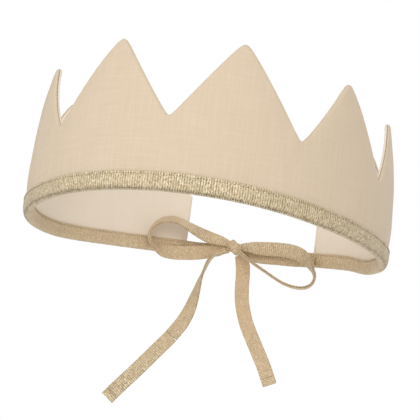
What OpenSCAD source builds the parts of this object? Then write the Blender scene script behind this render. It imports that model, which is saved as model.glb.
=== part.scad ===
// Child's dress-up crown in padded fabric, with a gold ribbon hem that ties in a bow at the back.
// Z points up. The front of the crown faces -Y. The origin is the middle of the head opening,
// level with the bottom of the hem at the front and back.

/* [Head opening] */
// Girth of the head opening, measured on the lining
head_girth = 510; // [480:2:560]
// How far the opening bulges from round towards an oval
oval_bulge = 4.9; // [0:0.1:6]
// Direction of the oval's long axis, from the front
oval_turn = -53; // [-90:1:90]
// How far the opening bulges towards an egg shape
egg_bulge = 3.4; // [0:0.1:4]
// Direction of the egg's narrow end, from the front
egg_turn = 15; // [-45:1:45]
// How far the opening is drawn in on its diagonals
diagonal_pull = 1.3; // [0:0.1:2]
// How far those diagonals are turned, from 45 degrees off the front
diagonal_turn = 6; // [-20:1:20]
// How far the hem dips at the sides of the head
side_dip = 5.7; // [0:0.1:10]
// How far the wall swells outwards at half its height
wall_swell = 2.1; // [0:0.1:3]
// How far the tips lean inwards
tip_pull = 3.7; // [0:0.1:8]

/* [Points] */
// Number of points on the crown
point_count = 8; // [5:1:10]
// Height of the tips above the hem
tip_height = 67; // [56:1:85]
// Height of the notches between the points
notch_height = 32; // [24:1:40]
// Softness of the tips
tip_round = 2.4; // [1:0.2:4]
// Softness of the notches
notch_round = 1.2; // [0.6:0.2:3]

/* [Fabric layers] */
// Thickness of the outer linen
outer_cloth = 0.8; // [0.5:0.1:1.2]
// Thickness of the wadding that stiffens the wall
wadding_thickness = 1.4; // [0.8:0.1:2.4]
// Thickness of the lining
lining_cloth = 0.6; // [0.4:0.1:1]
// Depth of the turned seam along the points
seam_turn = 1.6; // [1.2:0.1:2.4]
// Diameter of the sewing thread
thread_size = 0.3; // [0.2:0.05:0.4]

/* [Ribbon] */
// Height of the folded ribbon, at the hem and in the tie
ribbon_height = 7.5; // [6:0.5:10]
// Thickness of one layer of ribbon
ribbon_layer = 0.7; // [0.4:0.05:1]
// Thickness of the tie, which is the ribbon folded in two
tie_thickness = 1.5; // [1:0.1:1.8]
// Distance between the two ends of the fabric, bridged by the tie
tie_gap = 68; // [50:1:90]
// Distance of the hem stitching below the ribbon's upper edge
stitch_inset = 1.1; // [0.7:0.1:2]

/* [Bow] */
// Distance of the knot from the middle of the gap, positive towards +X
knot_offset = -8.4; // [-16:0.1:16]
// Height of the knot's centre above the hem
knot_height = 5.7; // [4:0.1:8]
// Distance of the knot's centre inside the lining
knot_depth = 4.6; // [4.6:0.1:7]
// Radius of the knot
knot_radius = 4; // [3:0.1:4]

/* [Hidden] */

linen = [0.87, 0.80, 0.70];
cotton = [0.95, 0.90, 0.83];
felt = [0.96, 0.95, 0.92];
gold = [0.78, 0.68, 0.48];
thread = [0.62, 0.54, 0.40];

// Clearance between layers that lie on each other, and where a stretch of ribbon ends against something
ply_gap = 0.07;
end_gap = 0.4;

// Distances outwards from the lining's inner face
lining_out = lining_cloth;
wadding_in = lining_out + ply_gap;
wadding_out = wadding_in + wadding_thickness;
outer_in = wadding_out + ply_gap;
wall = outer_in + outer_cloth;
seam_middle = wall / 2;
seam_half = thread_size / 2 + ply_gap;

// Heights of the panel's lower edge and of its seam
panel_foot = ribbon_layer + ply_gap;
stitch_level = ribbon_height - stitch_inset;

half_girth = head_girth / 2;
panel_length = head_girth - tie_gap;
panel_end = panel_length / 2;
pitch = panel_length / point_count;
half_pitch = pitch / 2;

// The opening is a circle with shallow waves on it: lobes, height and direction of each
waves = [[2, oval_bulge, oval_turn], [3, egg_bulge, egg_turn], [4, -diagonal_pull, diagonal_turn]];
base_radius = head_girth / (2 * PI);
to_degrees = 180 / PI;

function total(list, i = 0) = i < len(list) ? list[i] + total(list, i + 1) : 0;

// Distance from the middle to the wall's tangent, in the direction that the wall faces
function reach(a) = base_radius + total([for (w = waves) w[1] * cos(w[0] * (a - w[2]))]);
function reach_rate(a) = total([for (w = waves) -w[0] * w[1] * sin(w[0] * (a - w[2]))]);
function bend_radius(a) =
    base_radius + total([for (w = waves) (1 - w[0] * w[0]) * w[1] * cos(w[0] * (a - w[2]))]);

// Length along the lining from the front to the place that faces direction a
function run(a) = base_radius * a / to_degrees
    + total([for (w = waves) (1 - w[0] * w[0]) / w[0] * w[1] * (sin(w[0] * (a - w[2])) + sin(w[0] * w[2]))]);
function facing(s, a, tries = 6) =
    tries == 0 ? a : facing(s, a - (run(a) - s) / bend_radius(a) * to_degrees, tries - 1);
function facing_at(s) = facing(s, s / base_radius * to_degrees);

function outward(a) = [sin(a), -cos(a), 0];
function onward(a) = [cos(a), sin(a), 0];
function hem_level(a) = -side_dip * sin(a) * sin(a);

// How far out the wall stands at a height, from where it stands at the hem
function wall_shift(up) = let (share = up / tip_height)
    4 * wall_swell * share * (1 - share) - tip_pull * share;

// A point of the wall: facing direction, distance out from the lining, height above the hem
function wall_point(a, out, up) =
    (reach(a) + out + wall_shift(up)) * outward(a) + reach_rate(a) * onward(a)
    + [0, 0, up + hem_level(a)];

// The same for the tie, which stands upright: distance along the back from the knot, towards +X,
// distance in from the lining, height above the hem
function tie_facing(along) = facing_at(half_girth - knot_offset - along);
function tie_point(p) = let (a = tie_facing(p[0]))
    (reach(a) - p[1]) * outward(a) + reach_rate(a) * onward(a) + [0, 0, p[2] + hem_level(a)];

// The knot's own directions: right along the tie, forward into the crown, up
knot_facing = tie_facing(0);
knot_centre = tie_point([0, knot_depth, knot_height]);
function knot_point(p) =
    knot_centre - p[0] * onward(knot_facing) - p[1] * outward(knot_facing) + [0, 0, p[2]];

function unit(v) = v / norm(v);

// A closed solid through rings that each have the same number of points. Each patch is split from
// its lower side to its higher one, so that layers which lie on each other keep the same shape.
module loft(rings) {
    n = len(rings[0]);
    last = (len(rings) - 1) * n;
    sides = [for (i = [0:len(rings) - 2], j = [0:n - 1])
        let (next = (j + 1) % n, a = i * n + j, b = i * n + next)
        each rings[i][next][2] > rings[i][j][2]
            ? [[a, b, b + n], [a, b + n, a + n]]
            : [[a, b, a + n], [b, b + n, a + n]]];
    start = [for (j = [n - 1:-1:0]) j];
    end = [for (j = [0:n - 1]) last + j];
    polyhedron(points = [for (r = rings) each r], faces = concat([start], sides, [end]));
}

// Places along half a point, from its tip to the notch: close together where the edge curves
tip_steps = [0, 1, 2.4, 5];
notch_steps = [2.8, 1.1];
plain_steps = 3;
side_steps = [for (i = [1:plain_steps])
    tip_steps[3] + i * (half_pitch - tip_steps[3] - notch_steps[0]) / (plain_steps + 1)];
half_steps = concat(tip_steps, side_steps, [for (d = notch_steps) half_pitch - d]);
function point_places(tip) = concat(
    [tip - half_pitch],
    [for (i = [len(half_steps) - 1:-1:1]) tip - half_steps[i]],
    [for (d = half_steps) tip + d]);
tips = [for (i = [0:point_count - 1]) (i + 0.5) * pitch - panel_end];
places = concat([for (t = tips) each point_places(t)], [panel_end]);

// Height of the wall's edge: straight sides that round over at each tip and notch
function rounding(d, r) = sqrt(d * d + r * r) - r;
side_slope = (tip_height - notch_height)
    / (rounding(half_pitch / 2, tip_round) + rounding(half_pitch / 2, notch_round));
function tip_distance(s) = min([for (t = tips) abs(s - t)]);
function edge_height(s) = let (d = tip_distance(s))
    d < half_pitch / 2
        ? tip_height - side_slope * rounding(d, tip_round)
        : notch_height + side_slope * rounding(half_pitch - d, notch_round);
seam_drop = seam_turn * norm([1, side_slope]);

// A layer of the wall, through a section given for each place as points of distance out and height
module wall_layer(stations) {
    loft([for (s = stations) let (a = facing_at(s[0])) [for (q = s[1]) wall_point(a, q[0], q[1])]]);
}

// Heights at which every layer bends to the wall's swell, up to the turned seam
wall_steps = 3;
function levels(under) = concat([panel_foot],
    [for (i = [0:wall_steps - 1]) ribbon_height + (under - ribbon_height) * i / wall_steps]);

// Section of a shell whose upper edge is turned over towards the seam, and of its closed ends
function upwards(out, under) = [for (up = levels(under)) [out, up]];
function turned_section(face, back, turned, height) = let (under = height - seam_drop)
    concat(upwards(face, under), [[face, under], [face, height], [turned, height], [turned, under]],
        reversed(concat(upwards(back, under), [[back, under]])));
function end_section(face, turned, height) = let (under = height - seam_drop)
    concat(upwards(face, under), [[face, under], [face, height], [turned, height], [turned, under]],
        reversed(concat(upwards(turned, under), [[turned, under - seam_turn]])));
function reversed(list) = [for (i = [len(list) - 1:-1:0]) list[i]];

// A shell of the wall, open towards the wadding: face is its outside, back its inside
module shell_panel(face, back, turned) {
    shell_end = panel_end - seam_turn;
    ordered = function (q) face > back ? q : reversed(q);
    closed = function (s) [s, ordered(end_section(face, turned, edge_height(s)))];
    open = function (s) [s, ordered(turned_section(face, back, turned, edge_height(s)))];
    wall_layer(concat(
        [closed(-panel_end), closed(-shell_end - ply_gap), open(-shell_end)],
        [for (s = places) if (abs(s) < shell_end - ply_gap) open(s)],
        [open(shell_end), closed(shell_end + ply_gap), closed(panel_end)]));
}

module outer_panel() {
    color(linen) shell_panel(wall, outer_in, seam_middle + seam_half);
}

module lining_panel() {
    color(cotton) shell_panel(0, lining_out, seam_middle - seam_half);
}

// The wadding fills the wall and stops short of the turned seams
module wadding() {
    end = panel_end - seam_turn - 2 * ply_gap;
    section = function (s) let (under = edge_height(s) - seam_drop, top = under - ply_gap)
        [s, concat(upwards(wadding_out, under), [[wadding_out, top], [wadding_in, top]],
            reversed(upwards(wadding_in, under)))];
    color(felt) wall_layer(concat([section(-end)],
        [for (s = places) if (abs(s) < end - ply_gap) section(s)], [section(end)]));
}

// A thread laid along the wall: its line is a list of places and heights
module wall_thread(line, out) {
    r = thread_size / 2;
    wall_layer([for (q = line) [q[0], [[out + r, q[1]], [out, q[1] + r], [out - r, q[1]], [out, q[1] - r]]]]);
}

// The seam between linen and lining, inside the turned edge of the points
module seam_thread() {
    sunk = seam_drop / 2;
    color(thread) wall_thread([for (s = places) if (abs(s) < panel_end - thread_size)
        [s, edge_height(s) - sunk]], seam_middle);
}

// The ribbon folded over the raw bottom edge, seen from the end: up the outside, round, up the inside
module hem_binding() {
    outside = wall + ply_gap + ribbon_layer;
    inside = -ply_gap - ribbon_layer;
    corner = ribbon_layer;
    section = [
        [outside, corner], [outside, ribbon_height], [wall + ply_gap, ribbon_height],
        [wall + ply_gap, ribbon_layer], [-ply_gap, ribbon_layer], [-ply_gap, ribbon_height],
        [inside, ribbon_height], [inside, corner], [inside + corner * 0.4, corner * 0.3],
        [inside + corner, 0], [outside - corner, 0], [outside - corner * 0.4, corner * 0.3]];
    color(gold) wall_layer([for (s = places) [s, section]]);
}

module hem_stitching(out) {
    color(thread) wall_thread([for (s = places) if (abs(s) < panel_end - 1) [s, stitch_level]], out);
}

module needle_thread() {
    hem_stitching(wall + ribbon_layer + 2 * ply_gap + thread_size / 2);
}

module bobbin_thread() {
    hem_stitching(-ribbon_layer - 2 * ply_gap - thread_size / 2);
}

// A bar of close stitches through the ribbon where the fabric ends, seen on both faces
module bartack(side) {
    bar_width = 1.4;
    bar_in = 1.6;
    low = 1.2;
    high = stitch_level - 1;
    face_out = wall + ribbon_layer + 2 * ply_gap;
    face_in = -ribbon_layer - 2 * ply_gap;
    s0 = side * (panel_end - bar_in);
    ends = [min(s0, s0 - side * bar_width), max(s0, s0 - side * bar_width)];
    color(thread) for (q = [[face_out + thread_size, face_out], [face_in, face_in - thread_size]])
        wall_layer([for (s = ends) [s, [[q[0], low], [q[0], high], [q[1], high], [q[1], low]]]]);
}

module left_bartack() {
    bartack(-1);
}

module right_bartack() {
    bartack(1);
}

// Ribbon routes. Each point has three distances, the roll of the ribbon's face and its share of the
// full height. Roll 0 faces into the crown and 90 is edge on. Near the knot the ribbon is gathered.
// The leads follow the back of the crown: along from the knot's centre, in from the lining, height.
hem_middle = ribbon_height / 2;
lead_in = 1;
lead_end = end_gap + sqrt(knot_radius ^ 2 - (knot_depth - lead_in - tie_thickness / 2) ^ 2);
left_lead_route = [
    [-20, -0.7, hem_middle - 0.15, 0, 1], [-13.6, 0.2, hem_middle - 0.05, 0, 1], [-8.3, 0.8, 4.2, 0, 0.9],
    [-lead_end - 1.9, lead_in, 4.9, 0, 0.7], [-lead_end, lead_in, 5.4, 0, 0.6]];
right_lead_route = [
    [lead_end, lead_in, 4.6, 0, 0.6], [lead_end + 2.4, lead_in, 3.9, 0, 0.7], [8.7, 0.9, 3.3, 0, 0.9],
    [15, 0.6, hem_middle - 0.75, 0, 1], [23.4, 0.1, hem_middle - 0.65, 0, 1],
    [33.7, -0.7, hem_middle - 0.4, 0, 1]];
// The loops are measured in the same way, but along from the side of the knot
left_loop_route = [
    [-0.8, 5.9, 7.8, 0, 0.56], [-4.2, 5.9, 8.6, 5, 0.72], [-9.4, 6, 9.5, 18, 0.9],
    [-15.6, 6.2, 11.5, 34, 1], [-22.4, 6.4, 14.1, 46, 1], [-28.2, 6.4, 16.2, 52, 1],
    [-33.3, 6.4, 16.7, 58, 1], [-38.4, 6.2, 15.2, 71, 1], [-41.8, 6, 12.4, 86, 1],
    [-43.6, 5.8, 8.9, 96, 1], [-43.8, 5.8, 5.8, 102, 1], [-42.3, 5.6, 3.1, 108, 1],
    [-39.1, 5.2, 1.1, 128, 1], [-34.8, 4.4, -0.1, 155, 1], [-29.2, 3.5, -0.2, 172, 1],
    [-22.5, 3.2, 0.3, 180, 1], [-15.2, 3.4, 1.3, 180, 1], [-8.9, 3.7, 2.5, 180, 0.9],
    [-4.2, 3.9, 3.7, 180, 0.72], [-0.8, 3.9, 4.4, 180, 0.56]];
right_loop_route = [
    [0.8, 5, 6.3, 0, 0.56], [3.5, 4.7, 6.5, 0, 0.72], [8.2, 4.1, 6.7, 0, 0.92], [14.4, 3.7, 6.9, 0, 1],
    [20.6, 3.6, 7.1, 0, 1], [26.6, 3.7, 6.8, 4, 1], [31.6, 4.1, 5.6, 14, 1], [35.9, 4.8, 3.4, 32, 1],
    [39.5, 5.6, 0.1, 58, 1], [42.3, 6.4, -3.3, 68, 1], [43.6, 7, -6.7, 66, 1], [42.6, 7.4, -10, 72, 1],
    [39.2, 7.6, -12.2, 81, 1], [34.8, 7.6, -12.8, 87, 1], [30, 7.6, -12.3, 89, 1],
    [24.9, 7.6, -10.8, 89, 1], [19.4, 7.6, -8.2, 88, 1], [13.8, 7.6, -5.3, 88, 1],
    [8.5, 7.6, -2.5, 88, 1], [4.4, 7.5, -0.1, 88, 0.85], [1.7, 7.4, 1.6, 88, 0.64],
    [0.4, 7.4, 2.6, 88, 0.56]];
// The tails hang from the knot. The left one is measured from the knot's left side: right, forward, up
left_root_route = [
    [-0.4, 3.2, -2.3, 90, 0.56], [-2.9, 3.6, -3.6, 90, 0.7], [-5.4, 4, -5.1, 90, 0.85],
    [-7.7, 4.4, -7.9, 90, 1], [-9.1, 4.4, -10.8, 90, 1]];
left_upper_route = [
    [-9.6, 4.4, -12.3, 90, 1], [-10.7, 4.4, -16.1, 84, 1], [-11.9, 4.5, -20.5, 74, 1],
    [-12.9, 4.6, -25.8, 60, 1], [-14, 4.7, -31.2, 44, 1], [-15.6, 4.8, -37.1, 28, 1],
    [-18.3, 5, -43.6, 13, 1], [-22.6, 5.1, -50.4, 3, 1]];
left_lower_route = [
    [-23.5, 5.2, -51.7, 1, 1], [-30.4, 5.4, -60.4, 0, 1], [-38.7, 5.6, -70.8, 0, 1],
    [-46.5, 5.8, -80.1, 0, 1], [-51.6, 6, -86.6, 0, 1]];
// The right one is measured from the knot's underside
right_root_route = [
    [2.6, -1.9, 0.6, 0, 0.6], [4.3, -1.9, -1.6, 0, 0.85], [5.6, -1.9, -4.8, 0, 1]];
right_tail_route = [
    [5.9, -1.9, -6.6, 0, 1], [6.3, -1.7, -10.7, 0, 1], [6.5, -1.5, -15.5, 0, 1],
    [6.9, -1.2, -20.2, 0, 1], [7.6, -0.9, -24.6, 0, 1], [9, -0.6, -29.6, 0, 1], [11, -0.3, -35, 0, 1],
    [13.6, 0.1, -40.2, 0, 1], [16.4, 0.5, -45.2, 0, 1], [19.5, 0.9, -50.8, 0, 1],
    [23, 1.4, -57.2, 0, 1], [26.9, 2, -65.7, 0, 1]];
knot_side = [knot_radius, 0, 0, 0, 0];
knot_under = [0, 0, -knot_radius, 0, 0];
function moved(route, by) = [for (p = route) p + by];

// A smooth curve through a route's points, with the given number of steps between two of them
function between(p, q, r, s, t) = 0.5 * (2 * q + (r - p) * t + (2 * p - 5 * q + 4 * r - s) * t * t
    + (3 * q - p - 3 * r + s) * t * t * t);
function smooth_route(route) = let (last = len(route) - 1) concat(
    [for (i = [0:last - 1], t = [0, 0.5])
        between(route[max(i - 1, 0)], route[i], route[i + 1], route[min(i + 2, last)], t)],
    [route[last]]);

// A flat ribbon with eased edges: its centre line, the way it faces at roll 0, its roll and share
function ribbon_ring(at, going, face, roll, share) = let (
    f0 = unit(face - (face * going) * going),
    w0 = cross(going, f0),
    f = f0 * cos(roll) + w0 * sin(roll),
    w = w0 * cos(roll) - f0 * sin(roll),
    half_w = ribbon_height * share / 2,
    half_t = tie_thickness / 2,
    ease = tie_thickness * 0.3)
    [for (q = [[half_w, half_t - ease], [half_w - ease, half_t], [ease - half_w, half_t],
        [-half_w, half_t - ease], [-half_w, ease - half_t], [ease - half_w, -half_t],
        [half_w - ease, -half_t], [half_w, ease - half_t]])
        at + q[0] * w + q[1] * f];

module ribbon(line, centre, faces) {
    last = len(line) - 1;
    color(gold) loft([for (i = [0:last])
        ribbon_ring(centre[i], unit(centre[min(i + 1, last)] - centre[max(i - 1, 0)]), faces[i],
            line[i][3], line[i][4])]);
}

module tie_ribbon(route) {
    line = smooth_route(route);
    ribbon(line, [for (p = line) tie_point(p)], [for (p = line) -outward(tie_facing(p[0]))]);
}

module tail_ribbon(route) {
    line = smooth_route(route);
    ribbon(line, [for (p = line) knot_point(p)], [for (p = line) -outward(knot_facing)]);
}

// The leads start where the hem ribbon closes up, at the end of the fabric
function lead_start(side) =
    [side * (panel_end + end_gap - half_girth) - knot_offset, -seam_middle, hem_middle, 0, 1];

module left_lead() {
    tie_ribbon(concat([lead_start(1)], left_lead_route));
}

module right_lead() {
    tie_ribbon(concat(right_lead_route, [lead_start(-1)]));
}

module bow_knot() {
    color(gold) translate(knot_centre) sphere(r = knot_radius, $fn = 48);
}

module left_loop() {
    tie_ribbon(moved(left_loop_route, -knot_side));
}

module right_loop() {
    tie_ribbon(moved(right_loop_route, knot_side));
}

module left_tail_root() {
    tail_ribbon(moved(left_root_route, -knot_side));
}

module left_tail_upper() {
    tail_ribbon(moved(left_upper_route, -knot_side));
}

module left_tail_lower() {
    tail_ribbon(moved(left_lower_route, -knot_side));
}

module right_tail_root() {
    tail_ribbon(moved(right_root_route, knot_under));
}

module right_tail() {
    tail_ribbon(moved(right_tail_route, knot_under));
}

// Stitches that hold the folded end of a tail: a short bar across it on each face
module end_stitching(route) {
    last = len(route) - 1;
    tip = knot_point(route[last]);
    before = knot_point(route[last - 1]);
    going = unit(tip - before);
    face = unit(-outward(knot_facing) + (outward(knot_facing) * going) * going);
    across = cross(going, face);
    fold = 4.5;
    reach_across = ribbon_height / 2 - 0.8;
    color(thread) for (side = [1, -1]) {
        base = tip - fold * going + side * (tie_thickness / 2 + ply_gap) * face;
        loft([for (x = [-reach_across, reach_across])
            [for (q = [[0, 0], [0, thread_size], [thread_size, thread_size], [thread_size, 0]])
                base + side * x * across + q[0] * going + side * q[1] * face]]);
    }
}

module left_end_stitching() {
    end_stitching(moved(left_lower_route, -knot_side));
}

module right_end_stitching() {
    end_stitching(moved(right_tail_route, knot_under));
}

outer_panel();
lining_panel();
wadding();
seam_thread();
hem_binding();
needle_thread();
bobbin_thread();
left_bartack();
right_bartack();
left_lead();
right_lead();
bow_knot();
left_loop();
right_loop();
left_tail_root();
left_tail_upper();
left_tail_lower();
left_end_stitching();
right_tail_root();
right_tail();
right_end_stitching();
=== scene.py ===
import math
import random
import bpy
from mathutils import Matrix, Vector, noise


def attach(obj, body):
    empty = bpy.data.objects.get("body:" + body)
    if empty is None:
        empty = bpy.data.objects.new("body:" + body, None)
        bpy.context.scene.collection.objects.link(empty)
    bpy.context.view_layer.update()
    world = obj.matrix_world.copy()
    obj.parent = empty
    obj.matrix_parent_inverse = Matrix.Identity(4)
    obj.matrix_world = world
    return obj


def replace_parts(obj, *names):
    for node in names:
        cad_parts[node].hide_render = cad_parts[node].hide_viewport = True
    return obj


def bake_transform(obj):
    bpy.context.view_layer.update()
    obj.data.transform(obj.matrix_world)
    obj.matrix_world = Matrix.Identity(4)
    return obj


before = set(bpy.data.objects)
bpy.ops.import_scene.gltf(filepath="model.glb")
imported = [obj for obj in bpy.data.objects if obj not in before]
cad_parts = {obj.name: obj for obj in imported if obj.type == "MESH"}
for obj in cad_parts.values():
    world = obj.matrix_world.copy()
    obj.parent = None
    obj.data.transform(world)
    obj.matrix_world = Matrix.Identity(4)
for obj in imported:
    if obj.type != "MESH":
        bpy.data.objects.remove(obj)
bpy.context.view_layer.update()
print("frame loaded")

# Lights and the floor are placed in metres.
mm = 0.001

plan = {
    "girth": 510,  # round the lining and the tie
    "waves": [(2, 4.9, -53), (3, 3.4, 15), (4, -1.3, 6)],  # lobes, height, direction in degrees
    "sideDip": 5.7,
    "swell": 2.1,  # how far the wall stands out at half its height
    "tipPull": 3.7,  # how far the tips lean in
}
points = {"count": 8, "tip": 67, "notch": 32, "tipRound": 2.4, "notchRound": 1.2}
layers = {"lining": 0.6, "wadding": 1.4, "outer": 0.8, "gap": 0.07}
tape = {"height": 7.5, "layer": 0.7, "tie": 1.5, "opening": 68}
bow = {"offset": -8.4, "height": 5.7, "depth": 4.6, "radius": 4.0}

waddingIn = layers["lining"] + layers["gap"]
waddingOut = waddingIn + layers["wadding"]
outerIn = waddingOut + layers["gap"]
wallOut = outerIn + layers["outer"]
seamLine = wallOut * 0.5
panelEnd = (plan["girth"] - tape["opening"]) / 2
pointPitch = 2 * panelEnd / points["count"]


# The plan of the head opening: a circle with shallow waves, walked by the direction that the wall faces.
baseRadius = plan["girth"] / (2 * math.pi)
waves = [(n, h, math.radians(p)) for n, h, p in plan["waves"]]


def reach(a):
    return baseRadius + sum(h * math.cos(n * (a - p)) for n, h, p in waves)


def reachRate(a):
    return -sum(n * h * math.sin(n * (a - p)) for n, h, p in waves)


def bendRadius(a):
    return baseRadius + sum((1 - n * n) * h * math.cos(n * (a - p)) for n, h, p in waves)


def walked(a):
    return baseRadius * a + sum(
        (1 - n * n) / n * h * (math.sin(n * (a - p)) + math.sin(n * p)) for n, h, p in waves)


def facingAt(s):
    a = s / baseRadius
    for _ in range(6):
        a -= (walked(a) - s) / bendRadius(a)
    return a


def outward(a):
    return Vector((math.sin(a), -math.cos(a), 0))


def onward(a):
    return Vector((math.cos(a), math.sin(a), 0))


def hemLevel(a):
    return -plan["sideDip"] * math.sin(a) ** 2


def wallShift(up):
    share = up / points["tip"]
    return 4 * plan["swell"] * share * (1 - share) - plan["tipPull"] * share


def wallPoint(a, out, up):
    side = (reach(a) + out + wallShift(up)) * outward(a) + reachRate(a) * onward(a)
    return side + Vector((0, 0, up + hemLevel(a)))


def tieFacing(along):
    return facingAt(plan["girth"] / 2 - bow["offset"] - along)


def tiePoint(along, inward, up):
    a = tieFacing(along)
    return (reach(a) - inward) * outward(a) + reachRate(a) * onward(a) + Vector((0, 0, up + hemLevel(a)))


knotFacing = tieFacing(0)
knotCentre = tiePoint(0, bow["depth"], bow["height"])
knotRight, knotFront, knotUp = -onward(knotFacing), -outward(knotFacing), Vector((0, 0, 1))


def knotPoint(right, front, up):
    return knotCentre + right * knotRight + front * knotFront + up * knotUp


def metres(p):
    return tuple(c * mm for c in p)


# Camera
view = {"azimuth": 12.71, "elevation": -10.04, "distance": 534, "roll": 7.2, "lens": 97.15, "shiftY": 0.0535}


def makeCamera():
    az, el, roll = (math.radians(view[k]) for k in ("azimuth", "elevation", "roll"))
    back = Vector((math.sin(az) * math.cos(el), -math.cos(az) * math.cos(el), math.sin(el)))
    side = Vector((0, 0, 1)).cross(back).normalized()
    top = back.cross(side)
    camera = bpy.data.objects.new("camera", bpy.data.cameras.new("camera"))
    right = math.cos(roll) * side + math.sin(roll) * top
    up = -math.sin(roll) * side + math.cos(roll) * top
    turn = Matrix((right, up, back)).transposed().to_4x4()
    camera.matrix_world = Matrix.Translation(back * view["distance"] * mm) @ turn
    camera.data.lens = view["lens"]
    camera.data.shift_y = view["shiftY"]
    camera.data.clip_start = 0.01
    bpy.context.scene.collection.objects.link(camera)
    bpy.context.scene.camera = camera


makeCamera()
print("camera made")


# Meshes
# clothAt is where each point lies on the flat cloth, and the sheen value how much glitter is painted there, a
# painted sheen for how the light catches the ribs; above 1 it also paints shade along the hem's fold
def makeMesh(name, verts, faces, clothAt=None, paintedSheenAndShade=None):
    mesh = bpy.data.meshes.new(name)
    mesh.from_pydata([metres(v) for v in verts], [], faces)
    if clothAt:
        at = mesh.attributes.new("clothAt", "FLOAT_VECTOR", "POINT")
        at.data.foreach_set("vector", [c * mm for q in clothAt for c in q])
    if paintedSheenAndShade:
        mesh.attributes.new("paintedSheenAndShade", "FLOAT", "POINT").data.foreach_set("value", paintedSheenAndShade)
    mesh.polygons.foreach_set("use_smooth", [True] * len(mesh.polygons))
    mesh.validate()
    mesh.update()
    piece = bpy.data.objects.new(name, mesh)
    bpy.context.scene.collection.objects.link(piece)
    return piece


# Faces between rings, which run anticlockwise when seen from the last ring
def loftFaces(ringCount, ringSize, closed=False, capped=True, first=0):
    faces = []
    for i in range(ringCount if closed else ringCount - 1):
        a, b = first + i * ringSize, first + (i + 1) % ringCount * ringSize
        for j in range(ringSize):
            k = (j + 1) % ringSize
            faces.append((a + j, a + k, b + k, b + j))
    if capped and not closed:
        last = first + (ringCount - 1) * ringSize
        faces.append(tuple(range(first + ringSize - 1, first - 1, -1)))
        faces.append(tuple(range(last, last + ringSize)))
    return faces


# Closes a ring with a fan about its middle, which keeps a folded section's cap clean
def fanCap(verts, ring, back):
    middle = sum((verts[i] for i in ring), Vector()) / len(ring)
    verts.append(middle)
    centre = len(verts) - 1
    pairs = [(ring[j], ring[(j + 1) % len(ring)]) for j in range(len(ring))]
    return [(b, a, centre) if back else (a, b, centre) for a, b in pairs]


# A tube through rings with a fan over each end
def fannedLoft(rings):
    size, last = len(rings[0]), (len(rings) - 1) * len(rings[0])
    verts = [v for ring in rings for v in ring]
    faces = loftFaces(len(rings), size, capped=False)
    faces += fanCap(verts, list(range(size)), True) + fanCap(verts, list(range(last, last + size)), False)
    return verts, faces


# A second ring close to each end keeps the ends crisp
endShare = 0.06


def withEndRings(rings):
    def near(a, b):
        return [p.lerp(q, endShare) for p, q in zip(a, b)]

    return [rings[0], near(rings[0], rings[1])] + rings[1:-1] + [near(rings[-1], rings[-2]), rings[-1]]


def endsDoubled(values):
    return [values[0]] + values + [values[-1]]


def smoothStep(x, low=0.0, high=1.0):
    t = min(1.0, max(0.0, (x - low) / (high - low)))
    return t * t * (3 - 2 * t)


# The folded ribbon: two plies with a closed fold at +w and an open, grooved edge at -w
plyThin = 0.86  # the bow's ribbons are pressed flatter than the CAD solid
gatherThick = 0.34  # and thicken where they are gathered
foldThick = 0.32  # or turned over at a tail's end
strip = {
    "ribPitch": 1.05,
    "ribHeight": 0.07,
    "perRib": 4,
    "grooveDepth": 1.7,
    "groove": 0.16,
    "facePoints": 9,
}


# Points (w, t, rib) round the section, where rib is how far the ribs show there
def foldedSection(halfW, halfT, share):
    lip = halfT * 0.48
    crest = 0.14 * halfT
    pleats = 0.55 * (1 - share)

    def face(side):
        for i in range(strip["facePoints"] + 1):
            f = i / strip["facePoints"]
            w = (halfW - halfT) + f * (2 * lip - 2 * halfW + halfT - lip)
            arch = math.sin(math.pi * f)
            swell = crest * arch + pleats * math.sin(math.pi * 7 * f) * arch
            yield (w, side * (halfT + swell), 1.0)

    ring = [(halfW - halfT + halfT * math.cos(t), halfT * math.sin(t), 0.6)
            for t in (math.radians(d) for d in (60, 30, 0, -30, -60))]
    ring += list(face(-1))
    edge = lip * 0.3 - halfW
    ring += [(edge, -lip * 1.7, 0.8), (-halfW, -lip, 0.5), (edge, -strip["groove"], 0.2)]
    ring += [(strip["grooveDepth"] * share - halfW, 0, 0)]
    ring += [(edge, strip["groove"], 0.2), (-halfW, lip, 0.5), (edge, lip * 1.7, 0.8)]
    ring += list(face(1))[::-1]
    return ring


def catmull(p, q, r, s, t):
    return [0.5 * (2 * b + (c - a) * t + (2 * a - 5 * b + 4 * c - d) * t * t
                   + (3 * b - a - 3 * c + d) * t ** 3)
            for a, b, c, d in zip(p, q, r, s)]


# Rows of a smooth curve through the route's points, about step apart
def smoothRoute(route, step):
    last = len(route) - 1
    rows = []
    for i in range(last):
        four = [route[k] for k in (max(i - 1, 0), i, i + 1, min(i + 2, last))]
        count = max(1, round((Vector(route[i + 1][:3]) - Vector(route[i][:3])).length / step))
        rows += [catmull(*four, j / count) for j in range(count)]
    return rows + [list(route[last])]


def lengthsAlong(centres, startAt=0.0):
    lengths = [startAt]
    for a, b in zip(centres, centres[1:]):
        lengths.append(lengths[-1] + (b - a).length)
    return lengths


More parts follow.
